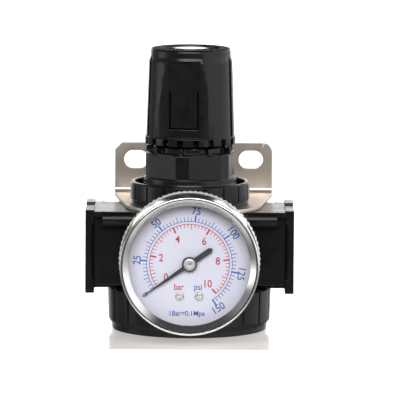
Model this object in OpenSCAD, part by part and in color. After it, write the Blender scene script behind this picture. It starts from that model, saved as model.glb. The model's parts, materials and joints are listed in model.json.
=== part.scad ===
// Air pressure regulator: relieving diaphragm type with a push-to-lock knob,
// a front pressure gauge and a wall bracket.
// Units are millimetres. +Z is up, -Y is the gauge side, and +X is the outlet side.
// The origin is the middle of the flat base, on the axis of the knob and valve.

/* [Body] */
// Width over the two port flanges
body_w = 64; // [62:0.5:68]
// Radius of the round middle of the body
barrel_r = 22.9; // [22.5:0.1:23.5]
// Height of the port and gauge axis above the base
port_z = 25; // [24.8:0.1:25.2]
// Wall radius of the G 1/4 ports
port_r = 5.72; // [5:0.01:6]
// Depth of each port, mouth to end
port_depth = 12; // [11:0.5:13]

/* [Bottom cap] */
// Radius of the ribbed bottom cap
cap_r = 25.2; // [24.8:0.1:25.6]
// Number of grip grooves round the cap
cap_grooves = 20; // [12:1:24]

/* [Bracket and nut] */
// Sheet thickness of the bracket
bracket_t = 1.2; // [1:0.1:1.5]
// Width of the bracket
bracket_w = 49.4; // [49:0.1:51]
// Distance from the regulator's axis to the bracket's back face
bracket_back = 30; // [29:0.5:32]
// How far the bracket sits to the right within its hole's clearance
bracket_shift = 1.1; // [0:0.1:1.2]
// Distance between the middles of the two slots
slot_pitch = 36; // [34:0.5:38]
// Outer radius of the bracket nut
nut_r = 18.4; // [18.2:0.1:19]
// Number of grip grooves round the nut
nut_grooves = 18; // [12:1:20]

/* [Bonnet and knob] */
// Distance across the bonnet's wide flats, halved
hex_apothem = 12.97; // [12.6:0.01:13.2]
// Distance across the bonnet's corner flats, halved
hex_corner = 13.86; // [13.6:0.01:14]
// Turn of the bonnet and knob away from the front
clocking = -10; // [-15:1:15]
// How far the knob pushes down to lock
lock_travel = 2.2; // [1.8:0.1:2.2]
// Outer radius of the knob at its skirt
skirt_r = 13.95; // [13.8:0.05:14.2]
// Number of notches in the knob's skirt
skirt_notches = 18; // [9:9:18]

/* [Adjusting screw and springs] */
// Major radius of the adjusting screw's thread
screw_r = 4; // [3.8:0.1:4]
// Thread pitch of the adjusting screw
screw_pitch = 1.25; // [1:0.25:1.5]
// Middle radius of the main spring's coil
spring_r = 6.6; // [6.4:0.1:6.7]
// Wire diameter of the main spring
spring_wire = 2; // [1.6:0.1:2]

/* [Gauge] */
// Outer radius of the gauge's bezel
bezel_r = 21; // [20.8:0.1:21.2]
// Distance from the regulator's axis to the bezel's front
gauge_front = 45; // [44.5:0.5:46]
// Angle at which the pointer rests, anticlockwise from the right
pointer_rest = 214.8; // [205:0.1:225]

/* [Hidden] */
$fn = 96;
eps = 0.01;
// Radial gap of a thread or a running fit
gap = 0.05;

black = "#1d1d1f";
rubber = "#101010";
steel = "#b9b6b0";
brass = "#b58d3d";
chrome = "#d8d8da";

// Heights of the body
cap_top = 13.5;
body_top = 37.5;
half_w = body_w / 2;
flange_low = 12.1;
flange_high = 38.5;
flange_t = 2.7;
arm_low = 13.7;
arm_y = 11;
flange_y = 12;
boss_face = 24.4;
boss_r = 8.5;
gauge_port_r = 4.3;
gauge_port_end = 14;

// Heights of the chambers, from the bottom up
neck_r = 11.9;
neck_top = 19.8;
inlet_ceiling = 22.6;
seat_z = 22;
orifice_r = 3.6;
outlet_floor = 27;
outlet_r = 11.5;
diaphragm_z = 32;
diaphragm_t = 1.2;
washer_z = diaphragm_z + diaphragm_t;
bonnet_low = washer_z + 0.6;
thread_r = 14.9;

// Heights of the bonnet and knob
nut_low = body_top + bracket_t;
nut_top = nut_low + 7;
hex_low = 47.2;
hex_top = 55;
bonnet_neck_r = 11.27;
bonnet_neck_top = 57.1;
tube_r = 9.7;
tube_top = 75;
cavity_r = 8.9;
ceiling = 72;
skirt_low = 57.4;
skirt_top = 59.9;
knob_top = 86.9;
panel_top = 83.6;
knob_bore = 10.5;
flat_y = 11.5;

// Screw and nut
seat_low = 63.5;
seat_top = 69;
spring_low = 35.2;
screw_low = 54;

// Bracket
bend_in = 1.5;
bend_out = bend_in + bracket_t;
bracket_top = 54.3;
slot_z = 49;
slot_r = 2.8;
slot_l = 7.6;

// Gauge depths are distances in front of the regulator's axis
case_back = 26.8;
case_r = 20.2;
case_front = 39.2;
window_t = 1.2;
lip_low = gauge_front - 1.9;
window_back = lip_low - window_t;
lip_r = 18.3;
bezel_back = 31.4;
dial_back = 38.2;
dial_t = 0.4;
pointer_z = 39.5;
tube_arc_r = 15;
tube_low = 29.5;
tube_high = 34;
rear_plate = 31;
front_plate = 36;
plate_t = 0.6;

// Gauge movement gears
gear_module = 0.25;
pinion_teeth = 12;
sector_teeth = 60;
pivot_angle = -50;
pivot_distance = gear_module * (pinion_teeth + sector_teeth) / 2 + 0.05;
pivot = pivot_distance * [cos(pivot_angle), sin(pivot_angle)];
tail_angle = -60;
tail_l = 2.6;
tail = pivot + tail_l * [cos(tail_angle), sin(tail_angle)];
tip_angle = -10;
tip = tube_arc_r * [cos(tip_angle), sin(tip_angle)];
dial_screw_x = 2.9;
dial_screw_y = -9.8;

// A ring about the Z axis
module ring(outer, inner, low, high) {
    translate([0, 0, low])
        difference() {
            cylinder(r = outer, h = high - low);
            translate([0, 0, -1])
                cylinder(r = inner, h = high - low + 2);
        }
}

// A solid turned about Z from a half profile of [radius, height] points
module turned(points) {
    rotate_extrude()
        polygon(points);
}

// A rectangle with round corners, from one corner to the other
module round_rect(low, high, r) {
    translate([low[0] + r, low[1]])
        square([high[0] - low[0] - 2 * r, high[1] - low[1]]);
    translate([low[0], low[1] + r])
        square([high[0] - low[0], high[1] - low[1] - 2 * r]);
    for (x = [low[0] + r, high[0] - r], y = [low[1] + r, high[1] - r])
        translate([x, y])
            circle(r = r);
}

// Turns a shape drawn in the YZ plane into a bar along X, from x0 to x1
module along_x(x0, x1) {
    translate([x0, 0, 0])
        rotate([90, 0, 90])
            linear_extrude(x1 - x0)
                children();
}

// Places gauge parts: X stays, the second axis is up and the third points forward
module gauge_frame() {
    translate([0, 0, port_z])
        rotate([90, 0, 0])
            children();
}

// Half profile of V grooves that stand for a thread, from the low end to the high end
function thread_points(r, low, high, pitch, depth) = [
    for (z = [low : pitch : high - pitch + eps])
        for (p = [[r - depth, z], [r, z + pitch * 0.3], [r, z + pitch * 0.7]]) p
];

// Outline of gear teeth: tooth k has its middle at angle first + k * step
function tooth_points(teeth, first, count, m) = let (step = 360 / teeth) [
    for (k = [0 : count - 1])
        for (p = [[-0.27, -1.15], [-0.11, 0.75], [0.11, 0.75], [0.27, -1.15]])
            let (a = first + step * (k + p[0]), r = m * (teeth / 2 + p[1])) [r * cos(a), r * sin(a)]
];

// A coil spring of round wire about Z with closed ends
module coil(r, wire, low, high, turns, sides, per_turn) {
    rings = turns * per_turn;
    dead = 0.75;
    function rise(t) = let (u = t * turns)
        u < dead ? wire * u
        : u > turns - dead ? (high - low) - wire - wire * (turns - u)
        : wire * dead + (u - dead) * ((high - low) - wire - 2 * wire * dead) / (turns - 2 * dead);
    points = [
        for (i = [0 : rings])
            let (a = 360 * turns * i / rings, z = low + wire / 2 + rise(i / rings))
                for (s = [0 : sides - 1])
                    let (b = 360 * s / sides, q = r + wire / 2 * cos(b))
                        [q * cos(a), q * sin(a), z + wire / 2 * sin(b)]
    ];
    faces = concat(
        [[for (s = [0 : sides - 1]) s]],
        [for (i = [0 : rings - 1], s = [0 : sides - 1])
            let (a = i * sides + s, b = i * sides + (s + 1) % sides) [a, a + sides, b + sides, b]],
        [[for (s = [sides - 1 : -1 : 0]) rings * sides + s]]
    );
    polyhedron(points = points, faces = faces, convexity = 8);
}

// One port arm with its modular flange, on the +X side
module port_arm() {
    root_x = barrel_r - 8;
    bar_end = 26.8;
    flange_in = half_w - flange_t;
    along_x(0, flange_in + eps)
        round_rect([-arm_y, arm_low], [arm_y, body_top], 1.2);
    difference() {
        along_x(flange_in, half_w)
            round_rect([-flange_y, flange_low], [flange_y, flange_high], 1);
        // Dovetail slopes for a joining clamp
        for (s = [-1, 1])
            translate([0, 0, 16.5])
                linear_extrude(17)
                    polygon([[half_w - 1.1, s * 12.1], [half_w - 3.8, s * 12.1], [half_w - 3.8, s * 10.7]]);
    }
    for (s = [-1, 1]) {
        // Round shoulder along the top edge of the arm
        along_x(root_x, bar_end) {
            translate([s * 12.5, body_top - 2.5])
                circle(r = 2.5);
            translate([s > 0 ? 8 : -12.5, body_top - 5])
                square([4.5, 5]);
        }
        // Ledge that joins the shoulder to the flange
        along_x(bar_end - eps, flange_in + eps)
            translate([s > 0 ? 8 : -13.3, body_top - 1.7])
                square([5.3, 1.7]);
    }
}

// Die-cast housing with its ports and chambers
module body() {
    color(black)
        difference() {
            union() {
                turned([[0, cap_top], [barrel_r - 0.8, cap_top], [barrel_r, cap_top + 0.8],
                    [barrel_r, body_top - 0.8], [barrel_r - 0.8, body_top], [0, body_top]]);
                port_arm();
                mirror([1, 0, 0])
                    port_arm();
                for (turn = [0, 180])
                    rotate([0, 0, turn])
                        gauge_frame()
                            cylinder(r = boss_r, h = boss_face);
            }
            // Diaphragm chamber and the thread for the bonnet
            translate([0, 0, diaphragm_z])
                cylinder(r = thread_r + gap, h = body_top);
            translate([0, 0, outlet_floor])
                cylinder(r = outlet_r, h = body_top);
            // Valve orifice with its raised seat lip
            translate([0, 0, cap_top])
                cylinder(r = orifice_r, h = 20);
            difference() {
                translate([0, 0, neck_top])
                    cylinder(r = 10, h = inlet_ceiling - neck_top);
                ring(orifice_r + 1, orifice_r - 1, seat_z, inlet_ceiling + 1);
            }
            // Thread for the bottom cap
            translate([0, 0, cap_top - 1])
                cylinder(r = neck_r + gap, h = neck_top + gap - cap_top + 1);
            // Inlet on the left, outlet on the right
            for (s = [-1, 1])
                translate([s * half_w, 0, port_z])
                    rotate([0, -90 * s, 0]) {
                        translate([0, 0, -1])
                            cylinder(r = port_r, h = port_depth + 1);
                        translate([0, 0, -eps])
                            cylinder(r1 = port_r + 0.9, r2 = port_r, h = 0.9);
                    }
            translate([-half_w + port_depth - 1, -4, 19.85])
                cube([14, 8, 2.5]);
            translate([outlet_r - 3, -4, outlet_floor + 0.2])
                cube([half_w - port_depth - outlet_r + 4, 8, 3.3]);
            // Gauge ports, front and rear, with their pilot holes
            for (turn = [0, 180])
                rotate([0, 0, turn])
                    gauge_frame() {
                        translate([0, 0, gauge_port_end])
                            cylinder(r = gauge_port_r, h = 20);
                        translate([0, 3, outlet_r - 1])
                            cylinder(r = 1, h = 5);
                    }
        }
}

// Ribbed plug that closes the valve chamber and is the foot
module bottom_cap() {
    foot_r = cap_r - 1.3;
    groove_r = cap_r - 0.8;
    color(black)
        difference() {
            union() {
                turned([[0, 0], [foot_r - 0.3, 0], [foot_r, 0.3], [foot_r, 1.7], [cap_r - 0.3, 3.1],
                    [cap_r, cap_top - 0.5], [cap_r - 0.5, cap_top], [0, cap_top]]);
                turned(concat([[0, cap_top - 1], [neck_r, cap_top - 1]],
                    [[neck_r, neck_top - 0.5], [neck_r - 0.5, neck_top], [0, neck_top]]));
            }
            for (k = [0 : cap_grooves - 1])
                rotate([0, 0, -90 + 5.3 + k * 360 / cap_grooves])
                    translate([groove_r, -0.35, 1.9])
                        cube([3, 0.7, cap_top]);
            // Valve chamber, guide bore and seal groove
            translate([0, 0, 9.5])
                cylinder(r = 9.3, h = neck_top);
            translate([0, 0, 2.6])
                cylinder(r = 2.5 + gap, h = 8);
            ring(neck_r + 1, 10.3, 16, 17.8);
            // Hollow underside with radial webs between the foot and the centre pad
            difference() {
                ring(foot_r - 3, 8, -1, 1.6);
                for (k = [0 : 5])
                    rotate([0, 0, 30 + 60 * k])
                        translate([0, -0.8, -2])
                            cube([cap_r, 1.6, 5]);
            }
        }
}

module o_ring(r, wire, z) {
    translate([0, 0, z])
        rotate_extrude()
            translate([r, 0])
                circle(r = wire / 2, $fn = 32);
}

module cap_o_ring() {
    color(rubber)
        o_ring(11.15, 1.5, 16.9);
}

// Spring housing: threaded foot, hex with cut corners, lock teeth and screw tower
module bonnet() {
    color(black)
        difference() {
            union() {
                turned(concat([[0, bonnet_low]], thread_points(thread_r, bonnet_low, 45.2, 1.5, 0.6),
                    [[thread_r - 0.6, 45.5], [14.2, 45.9], [14.2, hex_low], [0, hex_low]]));
                intersection() {
                    translate([0, 0, 46]) {
                        rotate([0, 0, 30 + clocking])
                            cylinder(r = hex_apothem / cos(30), h = 20, $fn = 6);
                    }
                    translate([0, 0, 46]) {
                        rotate([0, 0, clocking])
                            cylinder(r = hex_corner / cos(30), h = 20, $fn = 6);
                    }
                    turned([[0, 46], [15, 46], [15, hex_top - 1.2], [13.3, hex_top], [0, hex_top]]);
                }
                turned([[0, hex_top - 1], [bonnet_neck_r, hex_top - 1], [bonnet_neck_r, bonnet_neck_top - 0.6],
                    [bonnet_neck_r - 0.6, bonnet_neck_top], [tube_r, bonnet_neck_top], [tube_r, 64.9],
                    [10.15, 64.9], [10.15, 65.5], [tube_r, 66.4], [tube_r, 73], [9.4, 73], [9.4, 74],
                    [tube_r, 74], [tube_r, 74.7], [tube_r - 0.3, tube_top], [0, tube_top]]);
                // Lock teeth, in line with every other notch of the knob's skirt
                for (k = [0 : 8])
                    rotate([0, 0, clocking - 3 + 40 * k])
                        translate([-0.65, -13.5, hex_top - 0.5])
                            cube([1.3, 4, 2.2]);
            }
            difference() {
                union() {
                    translate([0, 0, bonnet_low - 1])
                        cylinder(r = outlet_r, h = body_top + 1 - bonnet_low);
                    translate([0, 0, body_top - eps])
                        cylinder(r1 = outlet_r, r2 = cavity_r, h = 2.6);
                    translate([0, 0, body_top])
                        cylinder(r = cavity_r, h = ceiling - body_top);
                }
                // Keys that stop the spring seat nut from turning
                for (turn = [0, 180])
                    rotate([0, 0, turn])
                        translate([7.9, -1, 52])
                            cube([3, 2, 30]);
            }
            translate([0, 0, ceiling - 1])
                cylinder(r = screw_r + 0.08, h = 10);
            // Bleed hole at the back
            rotate([0, 0, clocking])
                translate([0, 0, 51])
                    rotate([-90, 0, 0])
                        cylinder(r = 1, h = 20, $fn = 32);
        }
}

module slip_washer() {
    color("#d9d6cc")
        ring(14.4, outlet_r, washer_z, bonnet_low);
}

// Rolling diaphragm, clamped at its rim
module diaphragm() {
    t = diaphragm_t;
    z = diaphragm_z;
    color(rubber)
        turned([[3.05, z], [8.6, z], [9.2, z - 0.8], [10.2, z - 0.8], [10.9, z], [14.4, z],
            [14.4, z + t], [10.6, z + t], [9.9, z + t - 0.8], [9.5, z + t - 0.8], [8.9, z + t], [3.05, z + t]]);
}

// Grooved nut that clamps the bracket to the body
module ring_nut() {
    hole_r = thread_r + gap;
    color(black)
        difference() {
            turned([[hole_r, nut_low], [nut_r - 0.7, nut_low], [nut_r - 0.5, nut_low + 0.2],
                [nut_r - 0.5, nut_low + 1.4], [nut_r, nut_low + 1.7], [nut_r, nut_top - 0.4],
                [nut_r - 0.4, nut_top], [nut_r - 1.3, nut_top], [nut_r - 1.5, nut_top - 0.2],
                [nut_r - 1.5, nut_low + 4.3], [hole_r + 0.4, nut_low + 4.3], [hole_r, nut_low + 3.9]]);
            for (k = [0 : nut_grooves - 1])
                rotate([0, 0, -90 + 14.3 + k * 360 / nut_grooves])
                    translate([nut_r - 0.5, -0.24, nut_low + 1.6])
                        cube([2, 0.48, 4.7]);
        }
}

// Plan outline of the bracket's flat leg: straight tapered sides into a round front
module bracket_plan() {
    w = bracket_w / 2;
    difference() {
        union() {
            circle(r = 21.3);
            polygon([[-w, bracket_back - bend_out], [1.5 - w, 14], [-21.2, 0], [21.2, 0], [w - 1.5, 14],
                [w, bracket_back - bend_out]]);
        }
        circle(r = thread_r + bracket_shift + 0.3);
    }
}

// Front outline of the bracket's upright leg, with a cut left corner and a round right one
module bracket_front() {
    low = body_top + bend_out;
    r = 3;
    w = bracket_w / 2;
    difference() {
        union() {
            polygon([[-w, low], [-w, bracket_top - 2.2], [-w + 2.2, bracket_top], [w - r, bracket_top],
                [w - r, bracket_top - r], [w, bracket_top - r], [w, low]]);
            translate([w - r, bracket_top - r])
                circle(r = r);
        }
        for (s = [-1, 1])
            translate([s * slot_pitch / 2, slot_z]) {
                translate([slot_r - slot_l / 2, -slot_r])
                    square([slot_l - 2 * slot_r, 2 * slot_r]);
                for (e = [-1, 1])
                    translate([e * (slot_l / 2 - slot_r), 0])
                        circle(r = slot_r);
            }
    }
}

module bracket() {
    color(steel)
        translate([bracket_shift, 0, 0]) {
            translate([0, 0, body_top])
                linear_extrude(bracket_t)
                    bracket_plan();
            translate([0, bracket_back, 0])
                rotate([90, 0, 0])
                    linear_extrude(bracket_t)
                        bracket_front();
            translate([-bracket_w / 2, bracket_back - bend_out, body_top + bend_out])
                rotate([0, 90, 0])
                    intersection() {
                        ring(bend_out, bend_in, 0, bracket_w);
                        cube([bend_out + 1, bend_out + 1, bracket_w]);
                    }
        }
}

// Hex socket plug in the unused rear gauge port
module rear_plug() {
    color(steel)
        rotate([0, 0, 180])
            gauge_frame()
                difference() {
                    turned(concat([[0, 15]], thread_points(gauge_port_r - gap, 15, 23.6, 0.9, 0.4),
                        [[gauge_port_r - 0.4, 24.1], [0, 24.1]]));
                    translate([0, 0, 20])
                        cylinder(r = 2.5 / cos(30), h = 10, $fn = 6);
                }
}

module detent_ring() {
    color(rubber)
        o_ring(9.93, 0.96, 73.5);
}

module thrust_washer() {
    color(brass)
        ring(7, screw_r + 0.2, ceiling - 0.8, ceiling);
}

// Screw that the knob turns: it stays at one height and drives the seat nut
module adjusting_screw() {
    collar = ceiling - 0.85;
    color(steel) {
        turned(concat([[0, screw_low], [2.8, screw_low]],
            thread_points(screw_r, screw_low + 0.6, collar - 2.2, screw_pitch, 0.6),
            [[screw_r - 0.6, collar - 1.5], [6.3, collar - 1.5], [6.3, collar], [screw_r, collar],
            [screw_r, tube_top + 0.1], [3.5, tube_top + 0.1], [3.5, tube_top + 0.9], [screw_r, tube_top + 0.9],
            [screw_r, 77], [0, 77]]));
        rotate([0, 0, clocking])
            translate([0, 0, 76.5])
                cylinder(r = 4 / cos(30), h = 5.3, $fn = 6);
    }
}

module screw_clip() {
    color(steel)
        difference() {
            ring(6, 3.5, tube_top + 0.1, tube_top + 0.8);
            translate([0, -1.5, tube_top - 1])
                cube([10, 3, 3]);
        }
}

// Cuts one flat with its sloping sides, on the -Y side of the knob
module knob_flat() {
    translate([0, 0, skirt_top])
        linear_extrude(panel_top - skirt_top)
            polygon([[-9, -9.9], [-7.44, -10.95], [-5.2, -11.8], [-5.2, -flat_y], [5.2, -flat_y],
                [5.2, -11.8], [7.44, -10.95], [9, -9.9], [9, -16], [-9, -16]]);
}

// U-shaped slit that frees one spring tab
module tab_slit() {
    for (s = [-1, 1])
        translate([s * 4.35 - 0.25, -15, 62.6])
            cube([0.5, 6, 11.7]);
    translate([-4.35, -15, 62.6])
        cube([8.7, 6, 0.5]);
}

// Push-to-lock knob
module knob() {
    color(black)
        difference() {
            union() {
                // Skirt, core and top rim
                turned([[0, skirt_low], [skirt_r - 0.2, skirt_low], [skirt_r, skirt_low + 0.2],
                    [skirt_r, skirt_top - 0.15], [skirt_r - 0.15, skirt_top], [12.9, skirt_top],
                    [12.35, 84.4], [12.3, knob_top - 0.7], [12.1, knob_top - 0.2], [11.7, knob_top], [0, knob_top]]);
                // Raised grip panels between the grooves
                difference() {
                    turned([[0, skirt_top - 1], [13.62, skirt_top - 1], [13.62, skirt_top], [12.85, panel_top - 0.6],
                        [12.3, panel_top + 1], [0, panel_top + 1]]);
                    for (turn = [0, 180], a = [79, -64])
                        rotate([0, 0, clocking + turn + a])
                            translate([-0.9, -16, skirt_top])
                                cube([1.8, 8, 40]);
                }
            }
            for (turn = [0, 180])
                rotate([0, 0, clocking + turn]) {
                    knob_flat();
                    tab_slit();
                }
            for (k = [0 : skirt_notches - 1])
                rotate([0, 0, clocking - 3 + k * 360 / skirt_notches])
                    translate([-0.9, -16, skirt_low - 1])
                        cube([1.8, 8, 3.1]);
            // Bore over the bonnet, with the hex socket boss left standing
            translate([0, 0, skirt_low - 1])
                cylinder(r = 11.75, h = 3);
            difference() {
                translate([0, 0, skirt_low])
                    cylinder(r = knob_bore, h = 84.2 - skirt_low);
                translate([0, 0, 78.2])
                    cylinder(r = 6.2, h = 10);
                for (turn = [0, 180])
                    rotate([0, 0, clocking + turn])
                        translate([-2.4, -12, 63.3])
                            cube([4.8, 2, 1.3]);
            }
            rotate([0, 0, clocking])
                translate([0, 0, 78])
                    cylinder(r = 4.1 / cos(30), h = 6.2, $fn = 6);
            // Sunk ring round the badge on top
            ring(9.2, 5.9, knob_top - 1.1, knob_top + 1);
            translate([0, 0, knob_top - 0.8])
                cylinder(r = 5.45, h = 2);
        }
}

module knob_badge() {
    color(chrome)
        turned([[0, knob_top - 0.8], [5.4, knob_top - 0.8], [5.4, knob_top - 0.35], [5.2, knob_top - 0.15],
            [0, knob_top - 0.15]]);
}

// Nut that presses the main spring as the screw turns
module spring_seat_nut() {
    color(brass)
        difference() {
            turned([[0, seat_low - 2], [5.2, seat_low - 2], [5.4, seat_low], [8.6, seat_low], [8.6, seat_top - 0.4],
                [8.2, seat_top], [0, seat_top]]);
            translate([0, 0, 50])
                cylinder(r = screw_r + gap, h = 30);
            for (turn = [0, 180])
                rotate([0, 0, turn])
                    translate([7.7, -1.2, 50])
                        cube([3, 2.4, 30]);
        }
}

module main_spring() {
    color(steel)
        coil(spring_r, spring_wire, spring_low + 0.05, seat_low - 0.05, 7.5, 8, 20);
}

// Upper plate that carries the main spring
module diaphragm_plate() {
    color(chrome)
        difference() {
            turned([[0, washer_z], [8.5, washer_z], [8.5, spring_low - 0.3], [8.2, spring_low], [5.4, spring_low],
                [5.2, spring_low + 2], [0, spring_low + 2]]);
            translate([0, 0, 30])
                cylinder(r = 3.05, h = 6);
            translate([0, 0, 30])
                cylinder(r = 1.2, h = 10);
        }
}

// Lower disc whose rim seals on the tip of the valve stem until it must vent
module relief_seat() {
    color(brass)
        difference() {
            union() {
                ring(7, 1, diaphragm_z - 1.8, diaphragm_z);
                ring(3, 1, diaphragm_z - 0.5, 35.9);
            }
            translate([0, 0, 29])
                cylinder(r1 = 2.6, r2 = 1, h = 2);
        }
}

// Poppet with its push rod above and its guide stem below
module valve_poppet() {
    stem_low = 4.5;
    color(brass)
        turned([[0, stem_low], [2.2, stem_low], [2.5, stem_low + 0.3], [2.5, 7], [1.9, 7], [1.9, 8.2], [2.5, 8.2],
            [2.5, 18.4], [6, 18.4], [6, 21.4], [5.9, 21.4], [5.9, 20.9], [3.1, 20.9], [3.1, 22.4], [1.2, 23.4],
            [1.2, 30.7], [0.6, 31.3], [0, 31.3]]);
}

module valve_seal() {
    color(rubber)
        ring(5.85, 3.15, 20.95, seat_z);
}

module valve_spring() {
    color(steel)
        coil(4.2, 0.8, 9.55, 18.35, 6, 6, 18);
}

module stem_o_ring() {
    color(rubber)
        o_ring(2.24, 0.6, 7.6);
}

// Brass stem: port thread, square shank and the block that holds the tube
module gauge_stem() {
    color(brass)
        gauge_frame()
            difference() {
                union() {
                    turned(concat([[0, 15.5]], thread_points(gauge_port_r - gap, 15.5, boss_face, 0.9, 0.4),
                        [[gauge_port_r - 0.4, boss_face + 0.8], [0, boss_face + 0.8]]));
                    translate([-4.5, -4.5, boss_face + 0.8])
                        cube([9, 9, case_back - boss_face - 0.8]);
                    translate([0, 0, case_back - eps])
                        cylinder(r = 4.4, h = 1);
                    translate([-3.5, -16.5, case_back + 0.85])
                        cube([7, 20, rear_plate - case_back - 0.85]);
                    translate([-3.5, -16.5, case_back + 0.85])
                        cube([7, 3.8, 34.2 - case_back - 0.85]);
                }
                translate([0, 0, 10])
                    cylinder(r = 1, h = 19, $fn = 32);
                translate([0, 0, 28.4])
                    rotate([90, 0, 0])
                        cylinder(r = 0.6, h = 15, $fn = 32);
            }
}

module gauge_seal() {
    color("#e8e6e0")
        gauge_frame()
            ring(6.2, 4.4, boss_face, boss_face + 0.8);
}

module gauge_case() {
    color(black)
        gauge_frame()
            turned([[4.5, case_back], [case_r - 1.5, case_back], [case_r - 0.4, case_back + 0.4],
                [case_r, case_back + 1.5], [case_r, case_front], [case_r - 0.8, case_front],
                [case_r - 0.8, case_back + 1.5], [case_r - 1.5, case_back + 0.8], [4.5, case_back + 0.8]]);
}

// Spun bezel with a round front edge, an inward slope and a rolled rear bead
module gauge_bezel() {
    f = gauge_front;
    inner = case_r + gap;
    seat_r = 19.6;
    edge = [for (a = [0 : 15 : 90]) [bezel_r - 1 + cos(a), f - 1 + sin(a)]];
    bead = [for (a = [-90 : 30 : 90]) [bezel_r + 0.45 * cos(a), bezel_back + 0.5 + 0.5 * sin(a)]];
    color(chrome)
        gauge_frame()
            turned(concat([[inner, bezel_back]], bead, [[bezel_r, bezel_back + 1.2]], edge,
                [[bezel_r - 1.6, f], [bezel_r - 1.9, f - 0.2], [lip_r + 0.15, f - 1.45], [lip_r, f - 1.6],
                [lip_r, lip_low], [seat_r, lip_low], [seat_r, case_front + 0.1], [inner, case_front + 0.1]]));
}

module gauge_window() {
    color("#dfe6ee", 0.35)
        gauge_frame()
            translate([0, 0, window_back])
                cylinder(r = 19.5, h = window_t);
}

module window_gasket() {
    color(rubber)
        gauge_frame()
            ring(19.5, 18.7, case_front + 0.1, window_back);
}

module gauge_dial() {
    color("#e6e5ef")
        gauge_frame()
            difference() {
                translate([0, 0, dial_back])
                    cylinder(r = 19.3, h = dial_t);
                translate([0, 0, 30])
                    cylinder(r = 1.2, h = 20, $fn = 32);
                for (s = [-1, 1])
                    translate([s * dial_screw_x, dial_screw_y, 30])
                        cylinder(r = 0.75, h = 20, $fn = 32);
            }
}

module dial_screws() {
    head = dial_back + dial_t;
    color(steel)
        gauge_frame()
            for (s = [-1, 1])
                translate([s * dial_screw_x, dial_screw_y, 0])
                    difference() {
                        turned([[0, 34.5], [0.68, 34.5], [0.68, head], [1.38, head], [1.38, head + 0.35],
                            [1.1, head + 0.7], [0, head + 0.75]], $fn = 32);
                        for (turn = [0, 90])
                            rotate([0, 0, turn + 20])
                                translate([-0.9, -0.15, head + 0.35])
                                    cube([1.8, 0.3, 1]);
                    }
}

module dial_posts() {
    color(brass)
        gauge_frame()
            for (s = [-1, 1])
                translate([s * dial_screw_x, dial_screw_y, 0])
                    ring(1.2, 0.72, rear_plate, dial_back);
}

// Flattened tube bent round three quarters of a circle
module bourdon_tube() {
    start = tip_angle + 3;
    sweep = 255.5 - start;
    color(brass)
        gauge_frame()
            rotate([0, 0, start])
                rotate_extrude(angle = sweep)
                    difference() {
                        round_rect([tube_arc_r - 0.8, tube_low], [tube_arc_r + 0.8, tube_high], 0.75);
                        round_rect([tube_arc_r - 0.4, tube_low + 0.4], [tube_arc_r + 0.4, tube_high - 0.4], 0.35);
                    }
}

// Closed end of the tube, with the pin for the link
module tube_tip() {
    color(brass)
        gauge_frame()
            rotate([0, 0, tip_angle]) {
                translate([tube_arc_r - 0.9, -1.6, tube_low - 0.1])
                    cube([1.8, 2.3, tube_high - tube_low + 0.2]);
                translate([tube_arc_r, 0, tube_high])
                    cylinder(r = 0.4, h = 0.5, $fn = 32);
            }
}

// Two plates on two pillars that hold the pinion arbor and the sector pivot
module movement_frame() {
    color(brass)
        gauge_frame() {
            for (z = [rear_plate, front_plate])
                translate([0, 0, z])
                    difference() {
                        rotate([0, 0, pivot_angle])
                            linear_extrude(plate_t)
                                round_rect([-4, -2.7], [pivot_distance + 2.5, 2.7], 1.5);
                        translate([0, 0, -1])
                            cylinder(r = 0.5 + gap, h = 3, $fn = 32);
                        translate([pivot[0], pivot[1], -1])
                            cylinder(r = 0.6 + gap, h = 3, $fn = 32);
                    }
            rotate([0, 0, pivot_angle])
                for (pillar = [[-3, 0], [pivot_distance + 0.37, -2.07]])
                    translate([pillar[0], pillar[1], rear_plate])
                        cylinder(r = 0.5, h = front_plate + plate_t - rear_plate, $fn = 32);
        }
}

// Shaft of the pointer with its pinion
module pinion_arbor() {
    color(brass)
        gauge_frame() {
            translate([0, 0, rear_plate + 0.05])
                cylinder(r = 0.5, h = 8.95, $fn = 32);
            translate([0, 0, 32.4])
                linear_extrude(3)
                    polygon(tooth_points(pinion_teeth, pivot_angle + 15, pinion_teeth, gear_module));
        }
}

// Toothed sector with its pivot shaft and its tail
module sector_gear() {
    step = 360 / sector_teeth;
    count = 11;
    first = pivot_angle + 180 - 9 * step;
    color(brass)
        gauge_frame()
            translate([pivot[0], pivot[1], 0]) {
                difference() {
                    translate([0, 0, 33.2])
                        linear_extrude(1.2)
                            polygon(concat([[0, 0]], tooth_points(sector_teeth, first, count, gear_module)));
                    translate([0, 0, 33])
                        rotate([0, 0, first + step * 5])
                            translate([4.2, 0, 0])
                                cylinder(r = 1.2, h = 3, $fn = 32);
                }
                translate([0, 0, rear_plate - 0.05])
                    cylinder(r = 0.6, h = front_plate + plate_t - rear_plate + 0.1, $fn = 32);
                translate([0, 0, 33.2])
                    cylinder(r = 1.5, h = 1.2, $fn = 32);
                rotate([0, 0, tail_angle])
                    translate([0, -0.7, 33.2])
                        difference() {
                            cube([tail_l + 0.9, 1.4, 1.2]);
                            translate([tail_l, 0.7, -1])
                                cylinder(r = 0.4 + gap, h = 4, $fn = 32);
                        }
            }
}

// Link from the sector's tail to the end of the tube
module gauge_link() {
    span = tip - tail;
    reach = norm(span);
    color(steel)
        gauge_frame()
            translate([tail[0], tail[1], 0]) {
                translate([0, 0, 33.1])
                    cylinder(r = 0.4, h = 1.9, $fn = 32);
                rotate([0, 0, atan2(span[1], span[0])])
                    translate([0, 0, 34.6])
                        difference() {
                            linear_extrude(0.4)
                                round_rect([-0.9, -0.7], [reach + 0.9, 0.7], 0.6);
                            translate([reach, 0, -1])
                                cylinder(r = 0.45, h = 3, $fn = 32);
                        }
            }
}

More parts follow.
